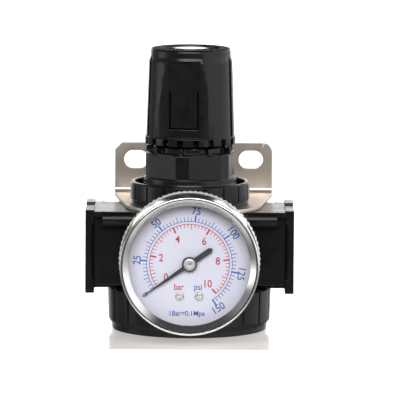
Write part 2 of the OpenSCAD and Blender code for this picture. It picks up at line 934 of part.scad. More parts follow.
// Black pointer: tapered needle, hub and broad counterweight
module pointer() {
    color(black)
        gauge_frame()
            rotate([0, 0, pointer_rest])
                difference() {
                    union() {
                        translate([0, 0, pointer_z])
                            linear_extrude(0.3)
                                polygon([[0, -0.72], [16.2, -0.16], [16.7, 0], [16.2, 0.16], [0, 0.72],
                                    [-1.5, 0.8], [-7.6, 0.85], [-8.5, 0], [-7.6, -0.85], [-1.5, -0.8]]);
                        translate([0, 0, pointer_z - 0.3])
                            cylinder(r = 2.28, h = 0.8, $fn = 48);
                    }
                    cylinder(r = 0.51, h = 60, $fn = 32);
                }
}

module pointer_cap() {
    color(steel)
        gauge_frame()
            turned([[0, pointer_z + 0.5], [1.85, pointer_z + 0.5], [1.85, pointer_z + 0.75], [1.6, pointer_z + 0.95],
                [0.35, pointer_z + 0.95], [0.3, pointer_z + 0.8], [0, pointer_z + 0.8]], $fn = 48);
}

body();
bottom_cap();
cap_o_ring();
bonnet();
slip_washer();
diaphragm();
ring_nut();
bracket();
rear_plug();
detent_ring();
thrust_washer();
adjusting_screw();
screw_clip();
knob();
knob_badge();
spring_seat_nut();
main_spring();
diaphragm_plate();
relief_seat();
valve_poppet();
valve_seal();
valve_spring();
stem_o_ring();
gauge_stem();
gauge_seal();
gauge_case();
gauge_bezel();
gauge_window();
window_gasket();
gauge_dial();
dial_screws();
dial_posts();
bourdon_tube();
tube_tip();
movement_frame();
pinion_arbor();
sector_gear();
gauge_link();
pointer();
pointer_cap();
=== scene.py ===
"""Looks of an air pressure regulator with a front pressure gauge and a wall bracket.

Blender works in metres. Sizes in this file are millimetres unless a name or a
comment says otherwise, and MM turns them into metres. Gauge parts are drawn in
the gauge's own frame, where X is right, Y is up and Z points forward from the
regulator's axis, and GAUGE_FRAME then puts them in place.
"""

import json
import logging
import math
from contextlib import contextmanager
from dataclasses import dataclass, field
from enum import Enum
from typing import Any, Callable, Iterator, Sequence

import bpy
from mathutils import Matrix, Vector
from mathutils.bvhtree import BVHTree

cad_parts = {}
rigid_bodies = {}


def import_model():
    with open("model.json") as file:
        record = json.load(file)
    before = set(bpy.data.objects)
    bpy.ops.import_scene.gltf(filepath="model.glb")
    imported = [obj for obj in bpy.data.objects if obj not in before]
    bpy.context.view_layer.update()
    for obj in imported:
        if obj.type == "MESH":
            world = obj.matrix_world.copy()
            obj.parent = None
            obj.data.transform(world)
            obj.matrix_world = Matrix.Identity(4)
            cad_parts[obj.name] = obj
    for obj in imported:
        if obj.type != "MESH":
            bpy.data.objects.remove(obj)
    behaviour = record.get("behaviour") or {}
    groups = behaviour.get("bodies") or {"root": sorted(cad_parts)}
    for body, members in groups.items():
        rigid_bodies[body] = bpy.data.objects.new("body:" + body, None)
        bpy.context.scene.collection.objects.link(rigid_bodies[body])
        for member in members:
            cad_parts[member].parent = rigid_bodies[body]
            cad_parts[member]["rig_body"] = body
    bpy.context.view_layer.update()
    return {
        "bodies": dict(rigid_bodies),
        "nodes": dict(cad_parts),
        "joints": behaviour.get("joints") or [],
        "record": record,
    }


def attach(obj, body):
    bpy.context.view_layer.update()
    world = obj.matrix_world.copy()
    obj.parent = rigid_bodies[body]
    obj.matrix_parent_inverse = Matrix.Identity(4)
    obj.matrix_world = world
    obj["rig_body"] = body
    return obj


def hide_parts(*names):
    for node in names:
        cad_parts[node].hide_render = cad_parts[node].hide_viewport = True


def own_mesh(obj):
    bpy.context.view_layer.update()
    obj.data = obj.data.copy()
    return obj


LOG = logging.getLogger("regulator")
MM = 0.001
PORT_Z = 25.0
CLOCKING = -10.0
GAUGE_FRAME = Matrix.Translation((0, 0, PORT_Z * MM)) @ Matrix.Rotation(
    math.radians(90), 4, "X"
)

Object = bpy.types.Object
Material = bpy.types.Material
Tree = bpy.types.NodeTree
Node = bpy.types.Node
Socket = bpy.types.NodeSocket
Colour = tuple[float, float, float, float]
Frame = dict[str, Any]


# ---------------------------------------------------------------- colours and nodes


def linear(code: str) -> Colour:
    """Turns an sRGB hex colour into linear light.

    Args:
        code: A colour such as "#1d1d1f".

    Returns:
        Red, green, blue and alpha in linear light.
    """
    shares = [int(code[i : i + 2], 16) / 255 for i in (1, 3, 5)]
    light = [s / 12.92 if s <= 0.04045 else ((s + 0.055) / 1.055) ** 2.4 for s in shares]
    return (light[0], light[1], light[2], 1.0)


def add(
    tree: Tree,
    kind: str,
    sockets: dict[str | int, Any] | None = None,
    **settings: Any,
) -> Node:
    """Adds a node, sets its options, and fills or links its input sockets.

    Args:
        tree: The node tree.
        kind: The node's type name.
        sockets: Input name or index, with the value or the output socket for it.
        **settings: Options of the node itself.

    Returns:
        The new node.
    """
    node = tree.nodes.new(kind)
    for key, value in settings.items():
        setattr(node, key, value)
    for key, value in (sockets or {}).items():
        if isinstance(value, bpy.types.NodeSocket):
            tree.links.new(value, node.inputs[key])
        else:
            node.inputs[key].default_value = value
    return node


# ---------------------------------------------------------------- finishes


@dataclass(frozen=True)
class Finish:
    """A surface finish: a base colour with fine variation, gloss and a grain.

    The pattern sizes are real distances in millimetres on the piece.
    """

    name: str
    slot: str
    colour: str
    tint: str
    roughness: float
    roughness_spread: float = 0.04
    metallic: float = 0.0
    ior: float = 1.5
    specular: float = 0.5
    tint_size: float = 6.0
    grain_size: float = 0.5
    grain_depth: float = 0.004
    stretch: tuple[float, float, float] = (1.0, 1.0, 1.0)
    brushed: float = 0.0

    def material(self) -> Material:
        """Returns this finish as a material, made the first time it is asked for."""
        known = bpy.data.materials.get(self.name)
        if known is not None:
            return known
        made = bpy.data.materials.new(self.name)
        made.use_nodes = True
        tree = made.node_tree
        tree.nodes.clear()
        output = add(tree, "ShaderNodeOutputMaterial")
        tree.links.new(self.surface(tree), output.inputs["Surface"])
        return made

    def noise(self, tree: Tree, size: float, detail: float = 3.0, along: bool = False) -> Socket:
        """Adds a noise of that feature size, drawn out along the grain if asked.

        Args:
            tree: The node tree.
            size: Feature size in millimetres.
            detail: Number of finer layers.
            along: Whether the noise follows the stretch of the finish.

        Returns:
            The noise's factor output.
        """
        place = add(tree, "ShaderNodeTexCoord").outputs["Object"]
        reach = self.stretch if along else (1.0, 1.0, 1.0)
        scale = tuple(1 / (size * MM * share) for share in reach)
        spread = add(tree, "ShaderNodeMapping", {"Vector": place, "Scale": scale})
        noise = add(
            tree,
            "ShaderNodeTexNoise",
            {"Vector": spread.outputs[0], "Scale": 1.0, "Detail": detail},
        )
        return noise.outputs["Fac"]

    def height(self, tree: Tree) -> Socket:
        """Returns the height pattern that the bump follows, from 0 to 1."""
        return self.noise(tree, self.grain_size, along=True)

    def tinting(self, tree: Tree) -> Socket:
        """Returns the pattern that moves the colour from its base to its tint."""
        return self.noise(tree, self.tint_size)

    def surface(self, tree: Tree) -> Socket:
        """Builds the shader and returns its output socket."""
        colour = add(
            tree,
            "ShaderNodeMix",
            {0: self.tinting(tree), 6: linear(self.colour), 7: linear(self.tint)},
            data_type="RGBA",
        )
        gloss = add(
            tree,
            "ShaderNodeMapRange",
            {
                "Value": self.noise(tree, self.tint_size / 2, along=True),
                "From Min": 0.3,
                "From Max": 0.7,
                "To Min": self.roughness - self.roughness_spread,
                "To Max": self.roughness + self.roughness_spread,
            },
        )
        bump = add(
            tree,
            "ShaderNodeBump",
            {"Height": self.height(tree), "Distance": self.grain_depth * MM, "Strength": 1.0},
        )
        shader = add(
            tree,
            "ShaderNodeBsdfPrincipled",
            {
                "Base Color": colour.outputs[2],
                "Roughness": gloss.outputs[0],
                "Metallic": self.metallic,
                "IOR": self.ior,
                "Specular IOR Level": self.specular,
                "Anisotropic": self.brushed,
                "Normal": bump.outputs[0],
            },
        )
        if self.brushed:
            lines = add(tree, "ShaderNodeTangent", direction_type="RADIAL", axis="Z")
            tree.links.new(lines.outputs[0], shader.inputs["Tangent"])
        return shader.outputs[0]


@dataclass(frozen=True)
class TurnedFinish(Finish):
    """A lathe-turned or spun finish, with fine rings about an axis."""

    centre: tuple[float, float, float] = (0.0, 0.0, 0.0)
    upright: bool = True
    ring_pitch: float = 0.3

    def height(self, tree: Tree) -> Socket:
        """Returns rings about the axis, broken up a little by noise."""
        place = add(tree, "ShaderNodeTexCoord").outputs["Object"]
        moved = add(
            tree,
            "ShaderNodeMapping",
            {"Vector": place, "Location": tuple(-c * MM for c in self.centre)},
        )
        flat = (1.0, 1.0, 0.0) if self.upright else (1.0, 0.0, 1.0)
        plane = add(
            tree,
            "ShaderNodeVectorMath",
            {0: moved.outputs[0], 1: flat},
            operation="MULTIPLY",
        )
        reach = add(tree, "ShaderNodeVectorMath", {0: plane.outputs[0]}, operation="LENGTH")
        turns = add(
            tree,
            "ShaderNodeTexNoise",
            {"W": self.scaled(tree, reach.outputs["Value"]), "Scale": 1.0, "Detail": 2.0},
            noise_dimensions="1D",
        )
        return turns.outputs["Fac"]

    def scaled(self, tree: Tree, reach: Socket) -> Socket:
        """Counts ring pitches along a distance in metres."""
        return add(
            tree,
            "ShaderNodeMath",
            {0: reach, 1: 1 / (self.ring_pitch * MM)},
            operation="MULTIPLY",
        ).outputs[0]


@dataclass(frozen=True)
class ClearFinish(Finish):
    """Clear moulded window plastic. Lamps reach through it to the dial."""

    def surface(self, tree: Tree) -> Socket:
        """Builds glass that shadow and diffuse rays pass straight through."""
        glass = add(
            tree,
            "ShaderNodeBsdfPrincipled",
            {
                "Base Color": linear(self.colour),
                "Roughness": self.roughness,
                "IOR": self.ior,
                "Transmission Weight": 1.0,
            },
        )
        clear = add(tree, "ShaderNodeBsdfTransparent", {"Color": linear(self.tint)})
        path = add(tree, "ShaderNodeLightPath")
        lamp = add(
            tree,
            "ShaderNodeMath",
            {0: path.outputs["Is Shadow Ray"], 1: path.outputs["Is Diffuse Ray"]},
            operation="MAXIMUM",
        )
        mixed = add(
            tree,
            "ShaderNodeMixShader",
            {0: lamp.outputs[0], 1: glass.outputs[0], 2: clear.outputs[0]},
        )
        return mixed.outputs[0]


@dataclass(frozen=True)
class FloorFinish(Finish):
    """Lit white acrylic sheet: white from above, and a faint mirror at a low angle.

    The mirror stops in front of the object. What the object itself sees of the
    sheet is dimmer, with a pool of light just in front of it.
    """

    glow: float = 0.8
    gloss_end: float = 48.0
    gloss_fade: float = 3.0
    steep: float = 0.78
    shallow: float = 0.86
    pool_centre: tuple[float, float, float] = (0.0, -50.0, 0.0)
    pool_inner: float = 18.0
    pool_outer: float = 45.0
    pool_glow: float = 0.85

    def surface(self, tree: Tree) -> Socket:
        """Builds the sheet's shader."""
        sheet = {
            "Base Color": linear(self.colour),
            "Roughness": self.roughness,
            "IOR": self.ior,
            "Specular IOR Level": self.specular,
            "Emission Color": linear(self.colour),
        }
        slant = add(tree, "ShaderNodeLayerWeight", {"Blend": 0.5}).outputs["Facing"]
        glow = add(
            tree,
            "ShaderNodeMapRange",
            {
                "Value": slant,
                "From Min": self.steep,
                "From Max": self.shallow,
                "To Min": 1.0,
                "To Max": self.glow,
            },
        )
        gloss = add(
            tree, "ShaderNodeBsdfPrincipled", sheet | {"Emission Strength": glow.outputs[0]}
        )
        matt = add(
            tree,
            "ShaderNodeBsdfPrincipled",
            sheet | {"Emission Strength": 1.0, "Specular IOR Level": 0.0},
        )
        place = add(tree, "ShaderNodeTexCoord").outputs["Object"]
        along = add(tree, "ShaderNodeSeparateXYZ", {0: place}).outputs["Y"]
        edge = add(
            tree,
            "ShaderNodeMapRange",
            {
                "Value": along,
                "From Min": -self.gloss_end * MM,
                "From Max": (self.gloss_fade - self.gloss_end) * MM,
            },
        )
        seen = add(
            tree,
            "ShaderNodeMixShader",
            {0: edge.outputs[0], 1: matt.outputs[0], 2: gloss.outputs[0]},
        )
        reach = add(
            tree,
            "ShaderNodeVectorMath",
            {0: place, 1: tuple(c * MM for c in self.pool_centre)},
            operation="DISTANCE",
        )
        pool = add(
            tree,
            "ShaderNodeMapRange",
            {
                "Value": reach.outputs["Value"],
                "From Min": self.pool_inner * MM,
                "From Max": self.pool_outer * MM,
                "To Min": self.pool_glow,
                "To Max": 0.0,
            },
        )
        dim = add(
            tree,
            "ShaderNodeBsdfPrincipled",
            sheet | {"Base Color": linear(self.tint), "Emission Strength": pool.outputs[0]},
        )
        path = add(tree, "ShaderNodeLightPath")
        mixed = add(
            tree,
            "ShaderNodeMixShader",
            {0: path.outputs["Is Camera Ray"], 1: dim.outputs[0], 2: seen.outputs[0]},
        )
        return mixed.outputs[0]


# Powder paint on cast zinc: an even satin black with a faint orange peel.
CAST_PAINT = Finish(
    "satin_paint_on_casting", "black_casting", "#0b0b0c", "#101011", 0.3, specular=0.28,
    tint_size=9.0, grain_size=0.9, grain_depth=0.006,
)
# Glass-filled nylon from a spark-eroded mould: satin black with a fine even grain.
MOULDED_NYLON = Finish(
    "moulded_nylon", "black_nylon", "#0c0c0d", "#121213", 0.27, specular=0.36,
    tint_size=7.0, grain_size=0.45, grain_depth=0.005,
)
# Acetal knob from a finer mould: a shallower grain than the nylon's gives cleaner highlights.
KNOB_PLASTIC = Finish(
    "moulded_knob_plastic", "knob_plastic", "#0c0c0d", "#121213", 0.27, specular=0.36,
    tint_size=8.0, grain_size=0.4, grain_depth=0.003,
)
# The knob's top comes from a coarser mould face, so it stays dark at a low angle.
KNOB_TOP = Finish(
    "coarse_knob_top", "knob_plastic", "#121213", "#18181a", 0.6, specular=0.03,
    tint_size=8.0, grain_size=0.3, grain_depth=0.02,
)
# Moulded nitrile rubber: dull black, slightly dusty.
RUBBER = Finish(
    "moulded_nitrile", "rubber", "#0d0d0d", "#171716", 0.7, grain_size=0.6, grain_depth=0.01,
)
# Turned acetal washer: milky and waxy.
ACETAL = Finish(
    "turned_acetal", "acetal", "#d9d6cc", "#cfcbbd", 0.45, grain_size=0.4, grain_depth=0.004,
)
# Skived PTFE ring: chalky white with a soft sheen.
PTFE = Finish("skived_ptfe", "ptfe", "#e9e7e1", "#dedbd2", 0.5, grain_size=0.5, grain_depth=0.006)
# Cold-rolled stainless sheet, brushed along X: fine drawn-out lines, warm grey.
BRACKET_STEEL = Finish(
    "brushed_stainless_sheet", "bracket_steel", "#fbf0e5", "#d6cabf", 0.43,
    roughness_spread=0.06, metallic=1.0, brushed=0.6, tint_size=11.0, grain_size=0.35,
    grain_depth=0.0012, stretch=(24.0, 1.0, 1.0),
)
# Zinc-plated socket plug: dull warm grey metal with an even sheen.
PLUG_STEEL = Finish(
    "zinc_plated_plug", "plug_steel", "#a9a79f", "#8f8d86", 0.3, metallic=1.0,
    tint_size=2.5, grain_size=0.5, grain_depth=0.004,
)
# Zinc-plated turned steel: pale bluish metal with tool rings.
PLATED_STEEL = TurnedFinish(
    "zinc_plated_steel", "plated_steel", "#b9b8b4", "#a3a29e", 0.28, metallic=1.0,
    tint_size=3.0, grain_depth=0.003, ring_pitch=0.25,
)
# Hard-drawn spring wire: dark grey, drawn smooth.
SPRING_STEEL = Finish(
    "drawn_spring_wire", "spring_steel", "#8b8985", "#6f6d69", 0.32, metallic=1.0,
    tint_size=3.0, grain_size=0.3, grain_depth=0.002,
)
# Spun aluminium disc: bright concentric rings.
BADGE_METAL = TurnedFinish(
    "spun_aluminium_badge", "badge_metal", "#b3adaa", "#9d9896", 0.3, metallic=1.0,
    tint_size=2.5, grain_depth=0.003, ring_pitch=0.35,
)
# Free-machining brass, turned and milled: warm yellow with faint tool marks.
BRASS = Finish(
    "machined_brass", "brass", "#c9a15a", "#ad843f", 0.27, metallic=1.0,
    tint_size=2.5, grain_size=0.25, grain_depth=0.003,
)
# Baked black enamel on drawn steel: smooth and glossier than the casting.
CASE_PAINT = Finish(
    "baked_enamel_case", "gauge_case_paint", "#121213", "#18181a", 0.28,
    tint_size=8.0, grain_size=1.2, grain_depth=0.004,
)
# Bright chrome over spun steel: mirror-like with faint polishing rings.
BEZEL_CHROME = TurnedFinish(
    "polished_chrome", "bezel_chrome", "#e8e8e9", "#dededf", 0.16, roughness_spread=0.03,
    metallic=1.0, tint_size=4.0, grain_depth=0.0008, centre=(0.0, 0.0, PORT_Z),
    upright=False, ring_pitch=0.4,
)
# The bezel's rolled rear edge: the crimping dies leave it frosty and pale.
ROLLED_EDGE = Finish(
    "rolled_chrome_edge", "bezel_chrome", "#f0f0ef", "#dcdcdb", 0.34, metallic=0.6,
    tint_size=1.5, grain_size=0.3, grain_depth=0.003,
)
# Moulded clear polycarbonate: colourless, sharp gloss.
WINDOW = ClearFinish("clear_window", "window", "#ffffff", "#f6f7fa", 0.015, ior=1.2)
# Baked white enamel on the dial plate: faintly cool white with a soft sheen.
DIAL_PAINT = Finish(
    "dial_enamel", "dial_paint", "#e9e8f2", "#e5e4ee", 0.5, tint_size=12.0,
    grain_size=0.6, grain_depth=0.002,
)
# Screen-printed inks: flat colour with a slightly uneven film.
BLUE_INK = Finish(
    "blue_dial_ink", "dial_paint", "#3f62b4", "#5274c0", 0.5, tint_size=0.8,
    grain_size=0.3, grain_depth=0.002,
)
RED_INK = Finish(
    "red_dial_ink", "dial_paint", "#c6323f", "#d04a52", 0.5, tint_size=0.8,
    grain_size=0.3, grain_depth=0.002,
)
# White pad print on the knob's top ring.
WHITE_INK = Finish(
    "white_pad_print", "badge_metal", "#d9d9d6", "#c8c8c5", 0.5, tint_size=0.8,
    grain_size=0.3, grain_depth=0.002,
)
# Nickel-plated pan head screws: small bright domes.
DIAL_SCREW_STEEL = Finish(
    "nickel_screw", "dial_screw_steel", "#e6e5e3", "#c9c8c6", 0.28, metallic=1.0,
    tint_size=1.2, grain_size=0.3, grain_depth=0.002,
)
# Stamped aluminium pointer, painted: near black with a soft sheen.
POINTER_PAINT = Finish(
    "black_pointer_paint", "pointer_paint", "#2e2d31", "#37363b", 0.45, tint_size=2.0,
    grain_size=0.4, grain_depth=0.002,
)
# Turned cap over the pointer's hub: satin silver.
POINTER_CAP = TurnedFinish(
    "satin_pointer_cap", "plated_steel", "#cfccca", "#bdbab8", 0.42, metallic=1.0,
    tint_size=1.5, grain_depth=0.002, centre=(0.0, 0.0, PORT_Z), upright=False, ring_pitch=0.3,
)
# Lit white acrylic sheet: a pale ground that mirrors the object's foot softly.
FLOOR = FloorFinish(
    "white_acrylic_sheet", "", "#f2ece9", "#a09e9c", 0.05, ior=1.45, specular=1.0, glow=0.32,
)

# The finish of each CAD node that is shown as it is.
NODE_FINISHES: dict[str, Finish] = {
    "cap_o_ring": RUBBER,
    "slip_washer": ACETAL,
    "diaphragm": RUBBER,
    "detent_ring": RUBBER,
    "thrust_washer": BRASS,
    "adjusting_screw": PLATED_STEEL,
    "screw_clip": PLATED_STEEL,
    "spring_seat_nut": BRASS,
    "diaphragm_plate": PLATED_STEEL,
    "relief_seat": BRASS,
    "valve_poppet": BRASS,
    "valve_seal": RUBBER,
    "stem_o_ring": RUBBER,
    "gauge_seal": PTFE,
    "gauge_window": WINDOW,
    "window_gasket": RUBBER,
    "gauge_dial": DIAL_PAINT,
    "dial_posts": BRASS,
    "bourdon_tube": BRASS,
    "tube_tip": BRASS,
    "movement_frame": BRASS,
    "pinion_arbor": BRASS,
    "sector_gear": BRASS,
    "gauge_link": PLATED_STEEL,
}


# ---------------------------------------------------------------- workshop


def choose(*objects: Object) -> None:
    """Selects only these objects and makes the last one active."""
    bpy.ops.object.select_all(action="DESELECT")
    for obj in objects:
        obj.select_set(True)
    if objects:
        bpy.context.view_layer.objects.active = objects[-1]


@contextmanager
def editing(obj: Object, mode: str = "VERT") -> Iterator[None]:
    """Opens an object in edit mode with everything selected.

    Args:
        obj: The mesh object.
        mode: What is selected: VERT, EDGE or FACE.
    """
    choose(obj)
    bpy.ops.object.mode_set(mode="EDIT")
    bpy.ops.mesh.select_mode(type=mode)
    bpy.ops.mesh.select_all(action="SELECT")
    yield
    bpy.ops.object.mode_set(mode="OBJECT")


def apply_modifier(obj: Object, kind: str, **settings: Any) -> None:
    """Adds a modifier with its settings and applies it."""
    choose(obj)
    modifier = obj.modifiers.new(kind.title(), kind)
    for key, value in settings.items():
        setattr(modifier, key, value)
    bpy.ops.object.modifier_apply(modifier=modifier.name)


def tidy_mesh(obj: Object, gap: float = 0.0005) -> None:
    """Merges doubles closer than gap millimetres and turns all faces outwards."""
    with editing(obj):
        bpy.ops.mesh.remove_doubles(threshold=gap * MM)
        bpy.ops.mesh.normals_make_consistent(inside=False)


def smooth(obj: Object, angle: float = 30.0) -> None:
    """Shades an object smooth where its faces meet below that angle in degrees."""
    choose(obj)
    bpy.ops.object.shade_smooth_by_angle(angle=math.radians(angle))


def joined(name: str, parts: Sequence[Object]) -> Object:
    """Joins objects into one with that name."""
    choose(*parts)
    bpy.ops.object.join()
    made = bpy.context.object
    made.name = made.data.name = name
    return made


def cut(obj: Object, cutter: Object) -> None:
    """Cuts the cutter's shape out of an object and throws the cutter away."""
    apply_modifier(obj, "BOOLEAN", operation="DIFFERENCE", object=cutter, solver="EXACT")
    bpy.data.objects.remove(cutter)


def drawn(name: str, profile: Sequence[tuple[float, float]]) -> Object:
    """Draws a line through points given by radius and height, one edge at a time."""
    points = [Vector((r * MM, 0, z * MM)) for r, z in profile]
    choose()
    bpy.ops.mesh.primitive_plane_add(size=MM, location=points[0])
    made = bpy.context.object
    made.name = made.data.name = name
    with editing(made):
        bpy.ops.mesh.merge(type="CENTER")
        for start, end in zip(points, points[1:]):
            bpy.ops.mesh.extrude_region_move(TRANSFORM_OT_translate={"value": end - start})
    return made


def spun(
    name: str,
    profile: Sequence[tuple[float, float]],
    steps: int = 128,
    sweep: float = 360.0,
) -> Object:
    """Turns a profile about the Z axis.

    Args:
        name: Name of the object.
        profile: Radius and height of each point, closed by hand where it is closed.
        steps: Steps of the spin.
        sweep: Angle of the spin in degrees.

    Returns:
        The turned object.
    """
    made = drawn(name, profile)
    with editing(made):
        bpy.ops.mesh.spin(
            steps=steps, angle=math.radians(sweep), center=(0, 0, 0), axis=(0, 0, -1)
        )
    settle(made)
    tidy_mesh(made)
    return made


def band(radius: float, width: float, start: float, end: float, steps: int) -> Object:
    """Draws a flat arc of that width between two angles in degrees."""
    half = width / 2
    made = spun("arc", [(radius - half, 0), (radius + half, 0)], steps=steps, sweep=end - start)
    made.data.transform(Matrix.Rotation(math.radians(start), 4, "Z"))
    return made


def settle(obj: Object) -> None:
    """Puts an object's place, turn and scale into its mesh."""
    choose(obj)
    bpy.ops.object.transform_apply(location=True, rotation=True, scale=True)


def finished(obj: Object, finish: Finish, body: str, *stands_for: str) -> Object:
    """Dresses a piece, lets it ride on its body and hides the nodes it stands for."""
    obj.data.materials.clear()
    obj.data.materials.append(finish.material())
    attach(obj, body)
    if stands_for:
        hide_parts(*stands_for)
    LOG.info("%s: %d faces on %s", obj.name, len(obj.data.polygons), body)
    return obj


@dataclass
class SoftCopy:
    """A CAD node's copy with its sharp edges rounded, as moulding and paint leave them."""

    node: str
    name: str
    finish: Finish
    edge: float
    segments: int = 2
    edge_angle: float = 15.0
    flat_angle: float = 0.6
    most_sides: int = 60
    weld: float = 0.002
    stray: float = 1.5

    def build(self, frame: Frame, shape: Callable[[Object], None] | None = None) -> Object:
        """Makes the piece in place of its node.

        Args:
            shape: Further work on the copy, before its edges are rounded.

        Returns:
            The finished piece.
        """
        source = frame["nodes"][self.node]
        made = bpy.data.objects.new(self.name, source.data.copy())
        made.data.name = self.name
        bpy.context.scene.collection.objects.link(made)
        if shape is not None:
            tidy_mesh(made, self.weld)
            shape(made)
        made.data.calc_loop_triangles()
        surface = BVHTree.FromPolygons(
            [vertex.co.copy() for vertex in made.data.vertices],
            [tuple(triangle.vertices) for triangle in made.data.loop_triangles],
        )
        with editing(made):
            bpy.ops.mesh.remove_doubles(threshold=self.weld * MM)
            bpy.ops.mesh.dissolve_degenerate(threshold=0.001 * MM)
            bpy.ops.mesh.select_all(action="SELECT")
            bpy.ops.mesh.dissolve_limited(angle_limit=math.radians(self.flat_angle))
            bpy.ops.mesh.select_all(action="DESELECT")
            bpy.ops.mesh.select_face_by_sides(number=self.most_sides, type="GREATER")
            bpy.ops.mesh.quads_convert_to_tris()
        apply_modifier(
            made,
            "BEVEL",
            width=self.edge * MM,
            segments=self.segments,
            limit_method="ANGLE",
            angle_limit=math.radians(self.edge_angle),
            use_clamp_overlap=False,
            miter_outer="MITER_ARC",
        )
        self.hold(made, surface)
        smooth(made, 40)
        apply_modifier(made, "WEIGHTED_NORMAL", mode="FACE_AREA", weight=100, keep_sharp=True)
        return finished(made, self.finish, source["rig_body"], self.node)

    def hold(self, made: Object, surface: BVHTree) -> None:
        """Puts back the corners that rounding has thrown off the surface.

        Args:
            made: The rounded copy.
            surface: The surface it had with sharp edges.
        """
        for vertex in made.data.vertices:
            place, _, _, gap = surface.find_nearest(vertex.co)
            if gap > self.stray * self.edge * MM:
                vertex.co = place


# ---------------------------------------------------------------- sub-assemblies


@dataclass
class PortThread:
    """The cut pipe thread of one side port, G 1/4 with 19 threads to the inch."""

    side: int
    crest: float = 5.72
    root: float = 6.45
    pitch: float = 1.337
    mouth: float = 31.65
    end: float = 20.4
    wall: float = 0.2

    def bore(self, housing: Object) -> None:
        """Cuts the room for the thread out of the housing's copy."""
        low, high = sorted((self.side * self.end, self.side * self.mouth))
        choose()
        bpy.ops.mesh.primitive_cylinder_add(
            vertices=96,
            radius=(self.root + self.wall) * MM,
            depth=(high - low) * MM,
            location=((low + high) / 2 * MM, 0, PORT_Z * MM),
            rotation=(0, math.radians(90), 0),
        )
        cutter = bpy.context.object
        settle(cutter)
        cut(housing, cutter)

    def build(self, name: str) -> Object:
        """Winds the thread's profile up the port and trims its ends square."""
        share = self.pitch / 8
        turns = math.ceil((self.mouth - self.end) / self.pitch) + 2
        profile = [(self.crest, 0.0), (self.crest, share), (self.root, 4 * share)]
        profile += [(self.root, 5 * share), (self.crest, 8 * share)]
        made = drawn(name, profile)
        settle(made)
        apply_modifier(
            made,
            "SCREW",
            axis="Z",
            steps=64,
            render_steps=64,
            angle=math.tau,
            screw_offset=self.pitch * MM,
            iterations=turns,
            use_merge_vertices=True,
            merge_threshold=0.001 * MM,
        )
        tidy_mesh(made)
        start = (self.end - self.pitch) if self.side > 0 else -(self.mouth + self.pitch)
        made.data.transform(
            Matrix.Translation((start * MM, 0, PORT_Z * MM))
            @ Matrix.Rotation(math.radians(90), 4, "Y")
        )
        for place, outer in ((self.mouth, True), (self.end, False)):
            with editing(made):
                bpy.ops.mesh.bisect(
                    plane_co=(self.side * place * MM, 0, PORT_Z * MM),
                    plane_no=(1, 0, 0),
                    clear_outer=(self.side > 0) == outer,
                    clear_inner=(self.side > 0) != outer,
                )
        with editing(made):
            bpy.ops.mesh.normals_make_consistent(inside=True)
        apply_modifier(made, "SOLIDIFY", thickness=self.wall * MM, offset=-1.0)
        tidy_mesh(made)
        smooth(made, 20)
        return finished(made, CAST_PAINT, "housing")


@dataclass
class Housing:
    """The die-cast body with its threaded side ports, the ribbed cap and the rear plug."""

    ports: list[PortThread] = field(default_factory=lambda: [PortThread(-1), PortThread(1)])
    step_middle: tuple[float, float, float] = (30.7, -6.5, 38.85)
    step_size: tuple[float, float, float] = (4.0, 19.0, 2.0)

    def build(self, frame: Frame) -> None:
        """Builds the body, both port threads, the cap and the plug."""
        body = SoftCopy("body", "cast_body", CAST_PAINT, edge=0.2, edge_angle=35)
        body.build(frame, self.open_ports)
        for port, name in zip(self.ports, ("inlet_thread", "outlet_thread")):
            port.build(name)
        SoftCopy("bottom_cap", "ribbed_cap", MOULDED_NYLON, edge=0.22).build(frame)
        SoftCopy("rear_plug", "socket_plug", PLUG_STEEL, edge=0.12).build(frame)

    def open_ports(self, body: Object) -> None:
        """Cuts the thread room of each port and the step on top of each flange."""
        for port in self.ports:
            port.bore(body)
        across, along, up = self.step_middle
        for side in (-1, 1):
            choose()
            bpy.ops.mesh.primitive_cube_add(
                size=MM, location=(side * across * MM, along * MM, up * MM)
            )
            cutter = bpy.context.object
            cutter.scale = self.step_size
            settle(cutter)
            cut(body, cutter)


